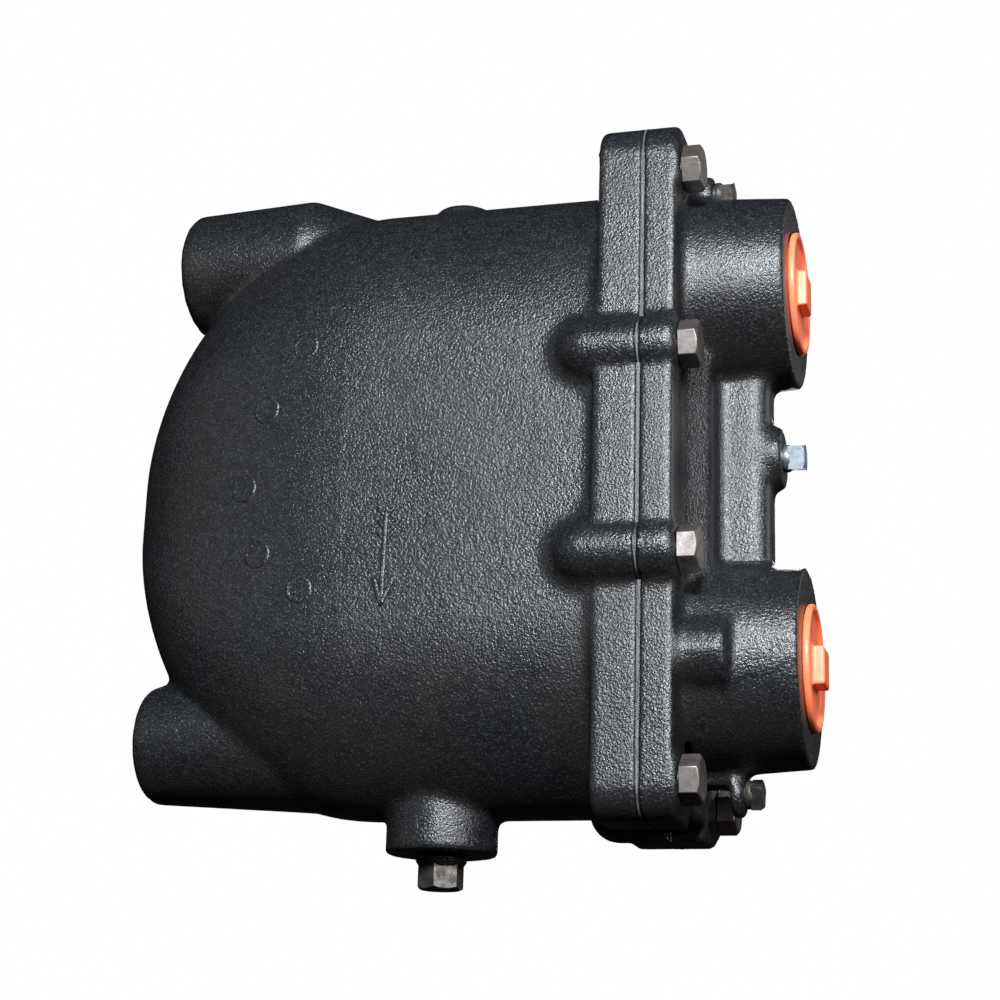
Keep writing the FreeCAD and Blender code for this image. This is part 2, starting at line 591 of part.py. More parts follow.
def make_float_lever():
    """Lever: hub tube on the pin, two side plates, the yoke for the valve head and a tab for the float."""
    arm = ("float_z - arm_half_height", "float_z + arm_half_height")
    cheek = ("pivot_z - hub_radius", "pivot_z + hub_radius")
    pieces = [
        rod("lever_hub", "hub_radius", "-hub_half_width", "hub_half_width", "pivot_x", "pivot_z", "y"),
        block("lever_yoke", ("yoke_back", "yoke_front"), ("-side_plate_outside", "side_plate_outside"),
              ("yoke_bottom", cheek[0])),
        block("lever_bridge", ("yoke_back", "yoke_front"), ("-side_plate_outside", "side_plate_outside"),
              cheek),
        block("lever_tab", ("tab_back", "tab_front"), ("-side_plate_outside", "side_plate_outside"),
              ("float_z - float_boss_radius", "float_z + float_boss_radius")),
    ]
    for n, span in enumerate(both_sides(("side_plate_inside", "side_plate_outside"))):
        pieces.append(block(f"lever_side_{n}", ("yoke_back", "pivot_x"), span, cheek))
        pieces.append(block(f"lever_arm_{n}", ("tab_back", "yoke_back"), span, arm))
    return cut("float_lever", joined("lever_solid", pieces), [
        rod("lever_pin_hole", "pin_radius + pin_running", *PIN_BORE, "pivot_x", "pivot_z", "y"),
        rod("lever_stem_hole", "head_stem_radius", "yoke_back - 1", "yoke_front + 1", z="seat_z"),
        rod("lever_screw_hole", "float_screw_radius", "tab_back - 1", "tab_front + 1", z="float_z"),
    ])


def make_float_ball():
    """Hollow ball float with a solid threaded boss."""
    edge = "float_x + float_radius"
    shell = cut("float_shell", ball("float_outside", "float_radius", ("float_x", "0", "float_z")), [
        ball("float_inside", "float_radius - float_wall", ("float_x", "0", "float_z")),
    ])
    return cut("float_ball", joined("float_solid", [
        shell,
        rod("float_boss", "float_boss_radius", f"{edge} - float_boss_depth", "tab_back", z="float_z"),
    ]), [
        rod("float_tapping", "float_screw_radius", "tab_back - float_screw_length", "tab_back + 1",
            z="float_z"),
    ])


def make_float_screw():
    return joined("float_screw", [
        hexagon("float_screw_hexagon", "float_screw_flats", "tab_front", "tab_front + float_screw_head",
                "0", "float_z"),
        rod("float_screw_shank", "float_screw_radius", "tab_back - float_screw_length + 1", "tab_front",
            z="float_z"),
    ])


# ---------------------------------------------------------------- thermostatic air vent


def make_air_vent_seat():
    solid = joined("vent_seat_solid", [
        rod("vent_seat_thread", "vent_thread_radius", "vent_gasket_face", "vent_end", z="vent_z"),
        rod("vent_seat_flange", "vent_flange_radius", "vent_flange_face", "vent_gasket_face", z="vent_z"),
    ])
    return cut("air_vent_seat", solid, [
        rod("vent_seat_orifice", "vent_orifice", "vent_flange_face - 1", "vent_end + 1", z="vent_z"),
    ])


def make_air_vent_seat_gasket():
    return cut("air_vent_seat_gasket", rod("vent_gasket_ring", "vent_gasket_radius", "vent_gasket_face",
                                           "gasket_half", z="vent_z"), [
        rod("vent_gasket_hole", "vent_thread_radius", "-2", "2", z="vent_z"),
    ])


def make_air_vent_cage():
    """Cage that holds the capsule over its seat: a slotted cup with a screwed ear on each side."""
    pieces = [rod("cage_cup", "cage_radius", "cage_end", "gasket_half", z="vent_z")]
    for n, side in enumerate(LEFT_RIGHT):
        pieces.append(rod(f"cage_ear_{n}", "cage_ear_radius", "cage_ear_face", "gasket_half",
                          f"{side} * cage_ear_y", "vent_z"))
        pieces.append(block(f"cage_strap_{n}", ("cage_ear_face", "gasket_half"),
                            (f"{side} * cage_ear_y / 2 - cage_ear_y / 2",
                             f"{side} * cage_ear_y / 2 + cage_ear_y / 2"),
                            ("vent_z - cage_ear_radius", "vent_z + cage_ear_radius")))
    tools = [
        rod("cage_hollow", "cage_inside", "cage_floor", "1", z="vent_z"),
        rod("cage_end_hole", "spring_inside", "cage_end - 1", "cage_floor + 1", z="vent_z"),
        block("cage_window_high", ("cage_floor + 4", "cage_ear_face - 3"), ("-cage_window", "cage_window"),
              ("vent_z", "vent_z + cage_radius + 1")),
        block("cage_window_low", ("cage_floor + 4", "cage_ear_face - 3"), ("-cage_window", "cage_window"),
              ("vent_z - cage_radius - 1", "vent_z")),
    ]
    for n, side in enumerate(LEFT_RIGHT):
        tools.append(rod(f"cage_screw_hole_{n}", "screw_radius + 0.3", "-5", "5",
                         f"{side} * cage_ear_y", "vent_z"))
    return cut("air_vent_cage", joined("cage_solid", pieces), tools)


def make_air_vent_capsule():
    return cut("air_vent_capsule", rod("capsule_disc", "capsule_radius", "capsule_back", "capsule_front",
                                       z="vent_z"), [
        rod("capsule_socket", "capsule_bore", "capsule_front - capsule_bore_depth", "capsule_front + 1",
            z="vent_z"),
    ])


def make_air_vent_valve():
    return joined("air_vent_valve", [
        rod("vent_valve_disc", "vent_disc_radius", "vent_disc_back", "vent_disc_front", z="vent_z"),
        rod("vent_valve_stem", "vent_stem_radius", "vent_stem_end", "vent_disc_back", z="vent_z"),
    ])


def make_air_vent_spring():
    """Spring washer that presses the capsule off the cage's end."""
    return cut("air_vent_spring", rod("spring_disc", "spring_outside", "cage_floor", "capsule_back",
                                      z="vent_z"), [
        rod("spring_hole", "spring_inside", "cage_floor - 1", "capsule_back + 1", z="vent_z"),
    ])


nodes = [
    make_body(),
    make_cover(),
    make_cover_gasket(),
    make_cover_bolts(),
    make_protector("inlet_thread_protector", "inlet_face", "port_z", "inlet_protector_head"),
    make_protector("outlet_thread_protector", "outlet_face", "-port_z", "outlet_protector_head"),
    make_drain_plug(),
    make_cover_plug("top", "top_boss_face", "plug_depth", 70),
    make_cover_plug("middle", "middle_boss_face", "plug_depth", 58),
    make_cover_plug("bottom", "bottom_boss_face", "short_plug_depth", 72),
    make_valve_seat(),
    make_valve_seat_gasket(),
    make_valve_head(),
    make_valve_head_nut(),
    make_pivot_frame(),
    make_screws("pivot_frame_screws", "frame_screw_y", "frame_screw_z", "frame_plate"),
    make_pivot_pin(),
    make_pivot_pin_clips(),
    make_float_lever(),
    make_float_ball(),
    make_float_screw(),
    make_air_vent_seat(),
    make_air_vent_seat_gasket(),
    make_air_vent_cage(),
    make_screws("air_vent_cage_screws", "cage_ear_y", "vent_z", "cage_ear_face"),
    make_air_vent_capsule(),
    make_air_vent_valve(),
    make_air_vent_spring(),
]
doc.recompute()

for node in nodes:
    bind(node, **{"Placement.Base.x": "gasket_x", "Placement.Base.z": "gasket_z"})
doc.recompute()

failed = [thing.Name for thing in doc.Objects if {"Invalid", "Error"} & set(thing.State)]
if failed:
    raise RuntimeError(f"failed objects: {failed}")
for node in nodes:
    shape = node.Shape
    if shape.isNull() or not shape.isValid():
        raise RuntimeError(f"{node.Label} has no valid shape")
    print(f"{node.Label}: {len(shape.Solids)} solids, {shape.Volume / 1000:.1f} cm3")
    shape.exportStep(f"parts/{node.Label}.step")
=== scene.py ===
"""Looks of the steam trap: cast skins, bolt and plug heads, threads and materials around its CAD frame."""

import math

import bmesh
import bpy
import numpy as np
import openvdb
from mathutils import Matrix, Vector
from mathutils.bvhtree import BVHTree


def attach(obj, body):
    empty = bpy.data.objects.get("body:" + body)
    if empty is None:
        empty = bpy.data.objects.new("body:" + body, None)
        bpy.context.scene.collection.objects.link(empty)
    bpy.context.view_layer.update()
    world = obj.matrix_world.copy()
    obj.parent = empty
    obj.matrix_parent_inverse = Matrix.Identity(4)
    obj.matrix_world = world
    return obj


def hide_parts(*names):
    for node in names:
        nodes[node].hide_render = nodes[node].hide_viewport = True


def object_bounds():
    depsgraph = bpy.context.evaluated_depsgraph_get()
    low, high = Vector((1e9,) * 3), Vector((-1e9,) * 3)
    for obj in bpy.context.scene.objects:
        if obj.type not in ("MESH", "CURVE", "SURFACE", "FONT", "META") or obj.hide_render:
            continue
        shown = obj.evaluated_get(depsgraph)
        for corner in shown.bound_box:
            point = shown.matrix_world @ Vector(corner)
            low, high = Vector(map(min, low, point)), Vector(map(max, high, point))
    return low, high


MM = 0.001
ROOT = "casing"

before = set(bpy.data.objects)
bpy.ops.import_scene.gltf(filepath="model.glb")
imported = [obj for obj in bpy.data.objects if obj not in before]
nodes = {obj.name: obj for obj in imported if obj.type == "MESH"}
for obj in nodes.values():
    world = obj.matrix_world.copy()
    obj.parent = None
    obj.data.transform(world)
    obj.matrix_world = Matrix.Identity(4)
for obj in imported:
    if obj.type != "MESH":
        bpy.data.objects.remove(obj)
cad_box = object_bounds()

# Most places are given in millimetres from the middle of the gasket, between the two ports.
GASKET = Vector((-55.0, 0.0, -80.0))
PAD_FACE = 15.5
SIDE_BOLT_Z = 42.2
DOME_START, BARREL_Z = -120, -5.7
SPARE_INLET_FACE, SPARE_INLET_Z = -216, 109.3
SPARE_OUTLET_FACE, SPARE_OUTLET_Z = -222.5, -105.8
DRAIN_X = -91.4


def place(x, y, z):
    """A point given from the middle of the gasket in millimetres, as a point of the frame in metres."""
    return (GASKET + Vector((x, y, z))) * MM


# ---------------------------------------------------------------- meshes


def add_object(name, mesh, material, body=ROOT, stands_for=()):
    thing = bpy.data.objects.new(name, mesh)
    bpy.context.scene.collection.objects.link(thing)
    mesh.materials.clear()
    mesh.materials.append(material)
    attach(thing, body)
    if stands_for:
        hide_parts(*stands_for)
    return thing


def smooth(mesh, angle=None):
    """Smooth shading, with sharp edges kept above an angle in degrees where one is given."""
    mesh.polygons.foreach_set("use_smooth", [True] * len(mesh.polygons))
    if angle is not None:
        mesh.set_sharp_from_angle(angle=math.radians(angle))
    mesh.update()


def node_triangles(node):
    """Points in millimetres and triangles of a CAD node."""
    mesh = nodes[node].data
    mesh.calc_loop_triangles()
    points = np.empty(len(mesh.vertices) * 3, np.float32)
    mesh.vertices.foreach_get("co", points)
    corners = np.empty(len(mesh.loop_triangles) * 3, np.int32)
    mesh.loop_triangles.foreach_get("vertices", corners)
    return points.reshape(-1, 3).astype(np.float64) / MM, corners.reshape(-1, 3)


def solids(node):
    """Points of each separate solid of a CAD node, in metres."""
    work = bmesh.new()
    work.from_mesh(nodes[node].data)
    bmesh.ops.remove_doubles(work, verts=work.verts, dist=1e-6)
    left, found = set(work.verts), []
    while left:
        front = [left.pop()]
        points = [tuple(front[0].co)]
        while front:
            for edge in front.pop().link_edges:
                for other in edge.verts:
                    if other in left:
                        left.remove(other)
                        front.append(other)
                        points.append(tuple(other.co))
        found.append(np.array(points))
    work.free()
    return sorted(found, key=lambda points: tuple(points.min(0)))


class Field:
    """A signed distance field of a closed mesh, in millimetres, used to round it as a casting is rounded."""

    def __init__(self, points, faces, pitch, reach):
        self.pitch = pitch
        self.reach = reach
        kind = "triangles" if faces.shape[1] == 3 else "quads"
        self.grid = openvdb.FloatGrid.createLevelSetFromPolygons(
            points.astype(np.float64), **{kind: faces.astype(np.uint32)},
            transform=openvdb.createLinearTransform(voxelSize=pitch), halfWidth=reach / pitch + 2)

    def surface(self, distance=0.0):
        return self.grid.convertToQuads(isovalue=distance)

    def array(self, low, shape):
        values = np.empty(shape, np.float32)
        self.grid.copyToArray(values, ijk=low)
        return values


def surface_of(values, low, pitch):
    """Points and quads of the zero surface of an array of distances whose first cell is low."""
    grid = openvdb.FloatGrid(float(values.max()))
    grid.transform = openvdb.createLinearTransform(voxelSize=pitch)
    grid.gridClass = openvdb.GridClass.LEVEL_SET
    grid.copyFromArray(np.ascontiguousarray(values, np.float32), ijk=low, tolerance=0)
    return grid.convertToQuads(isovalue=0)


def cast_mesh(name, node, pitch, recipes, hollow):
    """The node's mesh with its inside corners filled to one radius and its edges rounded to another.

    Each recipe is a fillet radius, an edge radius and a function of x, y and z that says from 0 to 1
    how far the recipe takes over from the ones before it. Two zero radii leave the machined shape.
    Where hollow(x, y, z) is true the node's own cavities are kept as they are.
    """
    points, faces = node_triangles(node)
    reach = max(fillet for fillet, _, _ in recipes)
    low = tuple(int(v) for v in np.floor(points.min(0) / pitch) - 4)
    shape = tuple(int(v) for v in np.ceil(points.max(0) / pitch) + 4 - low)
    axes = [(np.arange(n) + first) * pitch - GASKET[i] for i, (n, first) in enumerate(zip(shape, low))]
    x, y, z = np.meshgrid(*axes, indexing="ij", sparse=True)
    limit = 3 * pitch
    plain = np.clip(Field(points, faces, pitch, limit).array(low, shape), -limit, limit)
    cavity = hollow(x, y, z)
    solid = Field(*surface_of(np.where(cavity, -limit, plain), low, pitch), pitch, reach)
    values = 0
    for fillet, edge, share_at in recipes:
        skin = plain
        if fillet:
            filled = Field(*solid.surface(fillet), pitch, fillet + edge)
            shrunk = Field(*filled.surface(-fillet - edge), pitch, edge + 1.5 * pitch)
            skin = np.clip(shrunk.array(low, shape) - edge, -limit, limit)
        share = share_at(x, y, z)
        values = share * skin + (1 - share) * values
    new_points, new_faces = surface_of(np.where(cavity, plain, values), low, pitch)
    mesh = bpy.data.meshes.new(name)
    mesh.from_pydata((new_points * MM).tolist(), [], new_faces[:, ::-1].tolist())
    mesh.validate()
    return mesh


def relax(mesh, rounds, step=0.5):
    """Evens the mesh out without shrinking it: each smoothing round has one that undoes its drift."""
    count = len(mesh.vertices)
    points = np.empty(count * 3)
    mesh.vertices.foreach_get("co", points)
    points = points.reshape(-1, 3)
    edges = np.empty(len(mesh.edges) * 2, np.int32)
    mesh.edges.foreach_get("vertices", edges)
    a, b = edges.reshape(-1, 2).T
    degree = np.bincount(a, minlength=count) + np.bincount(b, minlength=count)
    for _ in range(rounds):
        for share in (step, -step * 1.04):
            total = np.stack([np.bincount(a, points[b, i], count) + np.bincount(b, points[a, i], count)
                              for i in range(3)], axis=1)
            points += share * (total / np.maximum(degree, 1)[:, None] - points)
    mesh.vertices.foreach_set("co", points.ravel())
    mesh.update()


def thin(thing, share, weight=None):
    """Takes faces away where the surface is flat. weight gives each vertex's share of the loss."""
    modifier = thing.modifiers.new("fewer faces", "DECIMATE")
    modifier.ratio = share
    if weight is not None:
        group = thing.vertex_groups.new(name="loss")
        for value in np.unique(weight):
            group.add(np.flatnonzero(weight == value).tolist(), float(value), "REPLACE")
        modifier.vertex_group = "loss"
    bpy.context.view_layer.objects.active = thing
    with bpy.context.temp_override(object=thing, active_object=thing, selected_objects=[thing]):
        bpy.ops.object.modifier_apply(modifier=modifier.name)
    smooth(thing.data)


def ring_mesh(name, rings, closed_ends=True):
    """A mesh from rings of points, each joined to the next, with a cap on the first and the last."""
    mesh = bpy.data.meshes.new(name)
    count = len(rings[0])
    points = [tuple(p) for ring in rings for p in ring]
    faces = []
    for r in range(len(rings) - 1):
        for i in range(count):
            j = (i + 1) % count
            faces.append((r * count + i, r * count + j, (r + 1) * count + j, (r + 1) * count + i))
    if closed_ends:
        faces.append(tuple(reversed(range(count))))
        faces.append(tuple(range((len(rings) - 1) * count, len(rings) * count)))
    mesh.from_pydata(points, [], faces)
    mesh.validate()
    return mesh


def turned(axis):
    """Rotation that takes +Z to the given direction."""
    return Vector(axis).to_track_quat("Z", "Y").to_matrix()


# ---------------------------------------------------------------- materials


class Nodes:
    """Small helper that wires a node material: each call makes a node and returns its main output."""

    def __init__(self, name):
        self.material = bpy.data.materials.new(name)
        self.material.use_nodes = True
        self.tree = self.material.node_tree
        self.shader = self.tree.nodes["Principled BSDF"]
        self.coordinates = self.tree.nodes.new("ShaderNodeTexCoord")

    def put(self, socket, value):
        if isinstance(value, bpy.types.NodeSocket):
            self.tree.links.new(value, socket)
        else:
            socket.default_value = value

    def add(self, kind, output=0, settings=(), **inputs):
        node = self.tree.nodes.new(kind)
        for key, value in dict(settings).items():
            setattr(node, key, value)
        for key, value in inputs.items():
            self.put(node.inputs[int(key[1:])] if key[1:].isdigit() else node.inputs[key.replace("_", " ")],
                     value)
        return node.outputs[output]

    def noise(self, size, detail=3.0, roughness=0.55, stretch=None):
        """Noise whose lumps are about size metres across."""
        at = self.coordinates.outputs["Object"]
        if stretch:
            at = self.add("ShaderNodeMapping", Vector=at, Scale=stretch)
        return self.add("ShaderNodeTexNoise", Vector=at, Scale=1 / size, Detail=detail, Roughness=roughness)

    def ramp(self, value, low, high, start=0.0, end=1.0):
        return self.add("ShaderNodeMapRange", Value=value, From_Min=low, From_Max=high, To_Min=start,
                        To_Max=end)

    def math(self, operation, a, b=0.0):
        return self.add("ShaderNodeMath", settings={"operation": operation}, _0=a, _1=b)

    def mix(self, share, first, second):
        node = self.tree.nodes.new("ShaderNodeMix")
        node.data_type = "RGBA"
        for socket, value in zip((node.inputs[0], node.inputs[6], node.inputs[7]), (share, first, second)):
            self.put(socket, value)
        return node.outputs[2]

    def bump(self, height, strength, depth, under=None):
        node = self.tree.nodes.new("ShaderNodeBump")
        node.inputs["Strength"].default_value = strength
        node.inputs["Distance"].default_value = depth
        self.put(node.inputs["Height"], height)
        if under is not None:
            self.put(node.inputs["Normal"], under)
        return node.outputs["Normal"]

    def finish(self, **sockets):
        for key, value in sockets.items():
            self.put(self.shader.inputs[key.replace("_", " ")], value)
        return self.material


def rgb(r, g, b):
    return (r, g, b, 1.0)


def cast_paint(name):
    """Black paint over sand-cast iron: glossy grain, and a brown tint painted on the faces that look down
    and on the dome, which is painted bounce light in their shade mixed with dust in patches.
    """
    m = Nodes(name)
    grain = m.noise(0.00095, 2.0, 0.6)
    skin = m.noise(0.0038, 3.0, 0.5)
    swell = m.noise(0.034, 3.0, 0.5)
    patches = m.noise(0.045, 5.0, 0.6)
    upward = m.add("ShaderNodeSeparateXYZ", 2, Vector=m.coordinates.outputs["Normal"])
    outward = m.add("ShaderNodeSeparateXYZ", 0, Vector=m.coordinates.outputs["Normal"])
    # Brown is painted onto the faces that look down and towards the dome end. It is painted warm bounce
    # light in their shade, broken up into patches of dust.
    down = m.ramp(upward, 0.15, -0.75)
    left = m.ramp(outward, -0.1, -0.85)
    dust_and_painted_bounce = m.math("MULTIPLY", m.math("MAXIMUM", down, m.math("MULTIPLY", left, 0.7)),
                   m.ramp(patches, 0.38, 0.66, 0.15, 1.0))
    paint = m.mix(m.ramp(skin, 0.3, 0.7), rgb(0.0050, 0.0055, 0.0065), rgb(0.0100, 0.0108, 0.0125))
    paint = m.mix(m.ramp(grain, 0.54, 0.70), paint, rgb(0.032, 0.035, 0.038))
    # Mixes in the brown tint of painted bounce light and dust on the down- and left-facing faces.
    colour = m.mix(m.math("MULTIPLY", dust_and_painted_bounce, 0.75), paint, rgb(0.015, 0.0095, 0.0068))
    low = m.ramp(m.add("ShaderNodeSeparateXYZ", 2, Vector=m.coordinates.outputs["Object"]), -0.13, -0.17)
    chips = m.ramp(m.noise(0.009, 7.0, 0.78), 0.70, 0.735)
    colour = m.mix(m.math("MULTIPLY", chips, m.ramp(low, 0.0, 1.0, 0.15, 0.7)), colour,
                   rgb(0.17, 0.175, 0.17))
    rough = m.math("ADD", m.ramp(patches, 0.3, 0.7, 0.26, 0.35), m.math("MULTIPLY", dust_and_painted_bounce, 0.10))
    lumps = m.bump(swell, 0.5, 0.0012)
    pits = m.bump(skin, 0.4, 0.00016, lumps)
    sand = m.bump(grain, 1.0, 0.00036, pits)
    return m.finish(Base_Color=colour, Roughness=rough, Normal=sand, Specular_IOR_Level=0.5)


def worn_steel(name, dark, light, polish=0.34, metal=0.9):
    """Rolled or turned steel with an oily brown film, brighter where it has been handled."""
    m = Nodes(name)
    film = m.noise(0.0045, 5.0, 0.65)
    marks = m.noise(0.0009, 4.0, 0.6)
    drawn = m.noise(0.0014, 3.0, 0.5, stretch=(0.25, 1.0, 1.0))
    colour = m.mix(m.ramp(film, 0.36, 0.66), dark, light)
    rough = m.math("ADD", m.ramp(film, 0.3, 0.7, polish + 0.14, polish),
                   m.math("MULTIPLY", marks, 0.10))
    skin = m.bump(marks, 0.25, 0.00010, m.bump(drawn, 0.25, 0.00012))
    return m.finish(Base_Color=colour, Roughness=rough, Metallic=metal, Normal=skin)


def gasket_sheet(name):
    """Grey sheet whose edge is painted over but for a broken pale line in the middle."""
    m = Nodes(name)
    fibre = m.noise(0.0008, 5.0, 0.7)
    stain = m.noise(0.016, 4.0, 0.65)
    across = m.math("ADD", m.add("ShaderNodeSeparateXYZ", 0, Vector=m.coordinates.outputs["Object"]), 0.055)
    line = m.ramp(m.math("ABSOLUTE", across), 0.00015, 0.0004, 1.0, 0.0)
    bare = m.math("MULTIPLY", line, m.ramp(stain, 0.42, 0.62, 0.05, 1.0))
    colour = m.mix(m.math("MULTIPLY", bare, m.ramp(fibre, 0.3, 0.7, 0.5, 1.0)), rgb(0.009, 0.0095, 0.011),
                   rgb(0.20, 0.205, 0.20))
    return m.finish(Base_Color=colour, Roughness=m.ramp(bare, 0.0, 1.0, 0.3, 0.8),
                    Normal=m.bump(fibre, 0.8, 0.0003))


def moulded_plastic(name):
    """Orange polyethylene: slightly waxy, with a fine moulded grain."""
    m = Nodes(name)
    cloud = m.noise(0.014, 4.0, 0.55)
    grain = m.noise(0.0006, 3.0, 0.6)
    colour = m.mix(m.ramp(cloud, 0.3, 0.7), rgb(0.97, 0.17, 0.070), rgb(1.0, 0.21, 0.095))
    rough = m.ramp(m.noise(0.006, 5.0, 0.6), 0.3, 0.7, 0.36, 0.52)
    material = m.finish(Base_Color=colour, Roughness=rough, Normal=m.bump(grain, 0.3, 0.00008))
    m.shader.inputs["Subsurface Weight"].default_value = 0.12
    m.shader.inputs["Subsurface Radius"].default_value = (0.004, 0.0012, 0.0006)
    m.shader.inputs["Subsurface Scale"].default_value = 1.0
    return material


def stainless(name, tint=1.0):
    m = Nodes(name)
    lay = m.noise(0.0009, 4.0, 0.6, stretch=(1.0, 1.0, 0.12))
    cloud = m.noise(0.02, 4.0, 0.6)
    colour = m.mix(m.ramp(cloud, 0.3, 0.7), rgb(0.42 * tint, 0.41 * tint, 0.395 * tint),
                   rgb(0.56 * tint, 0.555 * tint, 0.545 * tint))
    rough = m.ramp(lay, 0.3, 0.7, 0.20, 0.36)
    return m.finish(Base_Color=colour, Roughness=rough, Metallic=1.0, Normal=m.bump(lay, 0.3, 0.00006))


BLACK = cast_paint("black satin paint")
STEEL = worn_steel("oiled bolt steel", rgb(0.13, 0.108, 0.100), rgb(0.24, 0.222, 0.21), 0.36)
PLUG_STEEL = worn_steel("dark plug steel", rgb(0.040, 0.035, 0.031), rgb(0.15, 0.143, 0.135), 0.38)
ZINC = worn_steel("zinc plate", rgb(0.18, 0.205, 0.23), rgb(0.36, 0.41, 0.45), 0.32)
GASKET_SHEET = gasket_sheet("gasket sheet")
ORANGE = moulded_plastic("orange polyethylene")
STAINLESS = stainless("stainless steel")
THREAD_STEEL = worn_steel("cut iron thread", rgb(0.05, 0.047, 0.045), rgb(0.17, 0.165, 0.16), 0.4, 0.7)

# ---------------------------------------------------------------- castings


def soft_step(value, low, high):
    t = np.clip((value - low) / (high - low), 0, 1)
    return t * t * (3 - 2 * t)


def everywhere(x, y, z):
    return np.ones(np.broadcast(x, y, z).shape, np.float32)


def nowhere(x, y, z):
    return np.zeros(np.broadcast(x, y, z).shape, bool)


def body_lugs(x, y, z):
    """Round the side lugs the fillets are wide."""
    along = soft_step(-x, 19.5, 23.0) * soft_step(x, -62.0, -56.0)
    beside = soft_step(-np.abs(np.abs(z) - SIDE_BOLT_Z), -23.0, -17.5)
    return along * beside * soft_step(np.abs(y), 30.0, 38.0)


def spare_port_ends(x, y, z):
    return soft_step(-x, 200.0, 207.0) + 0 * (y + z)


def body_machined(x, y, z):
    """The gasket face and the drain boss face are machined, so they keep their edges."""
    return np.maximum(soft_step(x, -3.4, -2.0), 0.6 * soft_step(-z, 149.0, 152.0) + 0 * y)


def cover_machined(x, y, z):
    gasket_face = soft_step(-x, -3.4, -2.0)
    port_faces = soft_step(x, 51.0, 54.0) * (z > 20) + soft_step(x, 55.0, 58.0) * (z < -20)
    return np.maximum(gasket_face, 0.8 * port_faces + 0 * y)


BODY_RECIPES = [(1.6, 1.2, everywhere), (5.5, 2.0, body_lugs), (2.2, 4.6, spare_port_ends),
                (0, 0, body_machined)]
COVER_RECIPES = [(2.2, 1.5, everywhere), (0, 0, cover_machined)]


# The float chamber and the bores, each a little wider than the hollow itself.
DOME_REACH, STRAIGHT_SIDE, END_STRETCH = 108.5, 55.5, 1.64
CHAMBER_RADIUS, BORE_REACH = 46, 18.5


def body_cavities(x, y, z):
    """True in the float chamber, the outlet passage and the bores, with a little of the wall round them."""
    reach = np.sqrt(np.clip(1 - (np.clip(DOME_START - x, 0, None) / DOME_REACH) ** 2, 0, 1))
    above = np.maximum(np.abs(z - BARREL_Z) - STRAIGHT_SIDE * reach, 0) / END_STRETCH
    chamber = (x > -228) & (x < -3) & (np.hypot(y, above) < CHAMBER_RADIUS * reach)
    high_bore = (x > SPARE_INLET_FACE + 1) & (np.hypot(y, z - SPARE_INLET_Z) < BORE_REACH)
    low_bore = (x > SPARE_OUTLET_FACE + 1) & (np.hypot(y, z - SPARE_OUTLET_Z) < BORE_REACH)
    drain = (np.hypot(x - DRAIN_X, y) < 11.5) & (z > -152) & (z < -84)
    return chamber | (x < DOME_START) & (high_bore | low_bore) | drain


def in_cover(x, y, z):
    """True behind the cover's back and in its passages."""
    return (x < 9) & (np.abs(y) < 44) & (np.abs(z) < 118)


CASTING_PITCH = 1.2
OUTSIDE_LOSS = 0.12
BODY_FACES, COVER_FACES = 196_000, 130_000


def casting(name, node, recipes, faces, hollow, inside):
    """Adds a casting's skin of at most so many triangles, which are mostly lost where inside says so."""
    mesh = cast_mesh(name, node, CASTING_PITCH, recipes, hollow)
    relax(mesh, 2)
    thing = add_object(name, mesh, BLACK, stands_for=[node])
    points = np.empty(len(mesh.vertices) * 3)
    mesh.vertices.foreach_get("co", points)
    local = points.reshape(-1, 3) / MM - np.array(GASKET)
    mesh.calc_loop_triangles()
    share = faces / len(mesh.loop_triangles)
    if share < 1:
        thin(thing, share, np.where(inside(*local.T), 1.0, OUTSIDE_LOSS))
    smooth(thing.data)
    return thing


body = casting("body_casting", "body", BODY_RECIPES, BODY_FACES, body_cavities, body_cavities)
casting("cover_casting", "cover", COVER_RECIPES, COVER_FACES, nowhere, in_cover)

# ---------------------------------------------------------------- raised marks on the near wall


def wall_finder(thing):
    """Returns a function that finds the near wall's point and normal behind a place given by x and z."""
    tree = BVHTree.FromObject(thing, bpy.context.evaluated_depsgraph_get())

    def find(x, z):
        hit, normal, _, _ = tree.ray_cast(place(x, -120, z), Vector((0, 1, 0)))
        return hit, normal

    return find


def raised_patch(mesh_parts, find, rows):
    """Adds a patch given by rows of (x, z, height) that lies on the wall at those heights."""
    points, faces = mesh_parts
    first = len(points)
    width = len(rows[0])
    for row in rows:
        for x, z, height in row:
            hit, normal = find(x, z)
            points.append(hit + normal * height * MM)
    for r in range(len(rows) - 1):
        for i in range(width - 1):
            a = first + r * width + i
            faces.append((a, a + 1, a + width + 1, a + width))


def stroke(mesh_parts, find, start, end, half_width, height):
    """A raised bar with rounded sides and ends, from one place on the wall to another."""
    start, end = np.array(start, float), np.array(end, float)
    along = (end - start) / np.linalg.norm(end - start)
    across = np.array((-along[1], along[0]))
    length = np.linalg.norm(end - start)
    rows = []
    for t in np.linspace(-half_width, length + half_width, max(8, int(length / 0.8))):
        past = max(-t, t - length, 0) / half_width
        reach = half_width * math.sqrt(max(1 - past * past, 0.02))
        row = []
        for s in np.linspace(-1, 1, 9):
            profile = height * (1 - past ** 4) * (1 - s ** 4) - 0.25 * abs(s) ** 8 - 0.1 * past ** 4
            x, z = start + along * t + across * reach * s
            row.append((x, z, profile))
        rows.append(row)
    raised_patch(mesh_parts, find, rows)


def disc_mark(mesh_parts, find, x, z, radius):
    """A round pad left by a chaplet: a low disc with a slightly raised rim."""
    profile = [(0.0, 0.14), (0.6, 0.14), (0.76, 0.16), (0.86, 0.34), (0.95, 0.32), (1.04, 0.05), (1.1, -0.2)]
    turns = np.linspace(0, 2 * math.pi, 49)
    rows = [[(x + radius * share * math.cos(a), z + radius * share * math.sin(a), height)
             for a in turns] for share, height in profile]
    raised_patch(mesh_parts, find, rows)


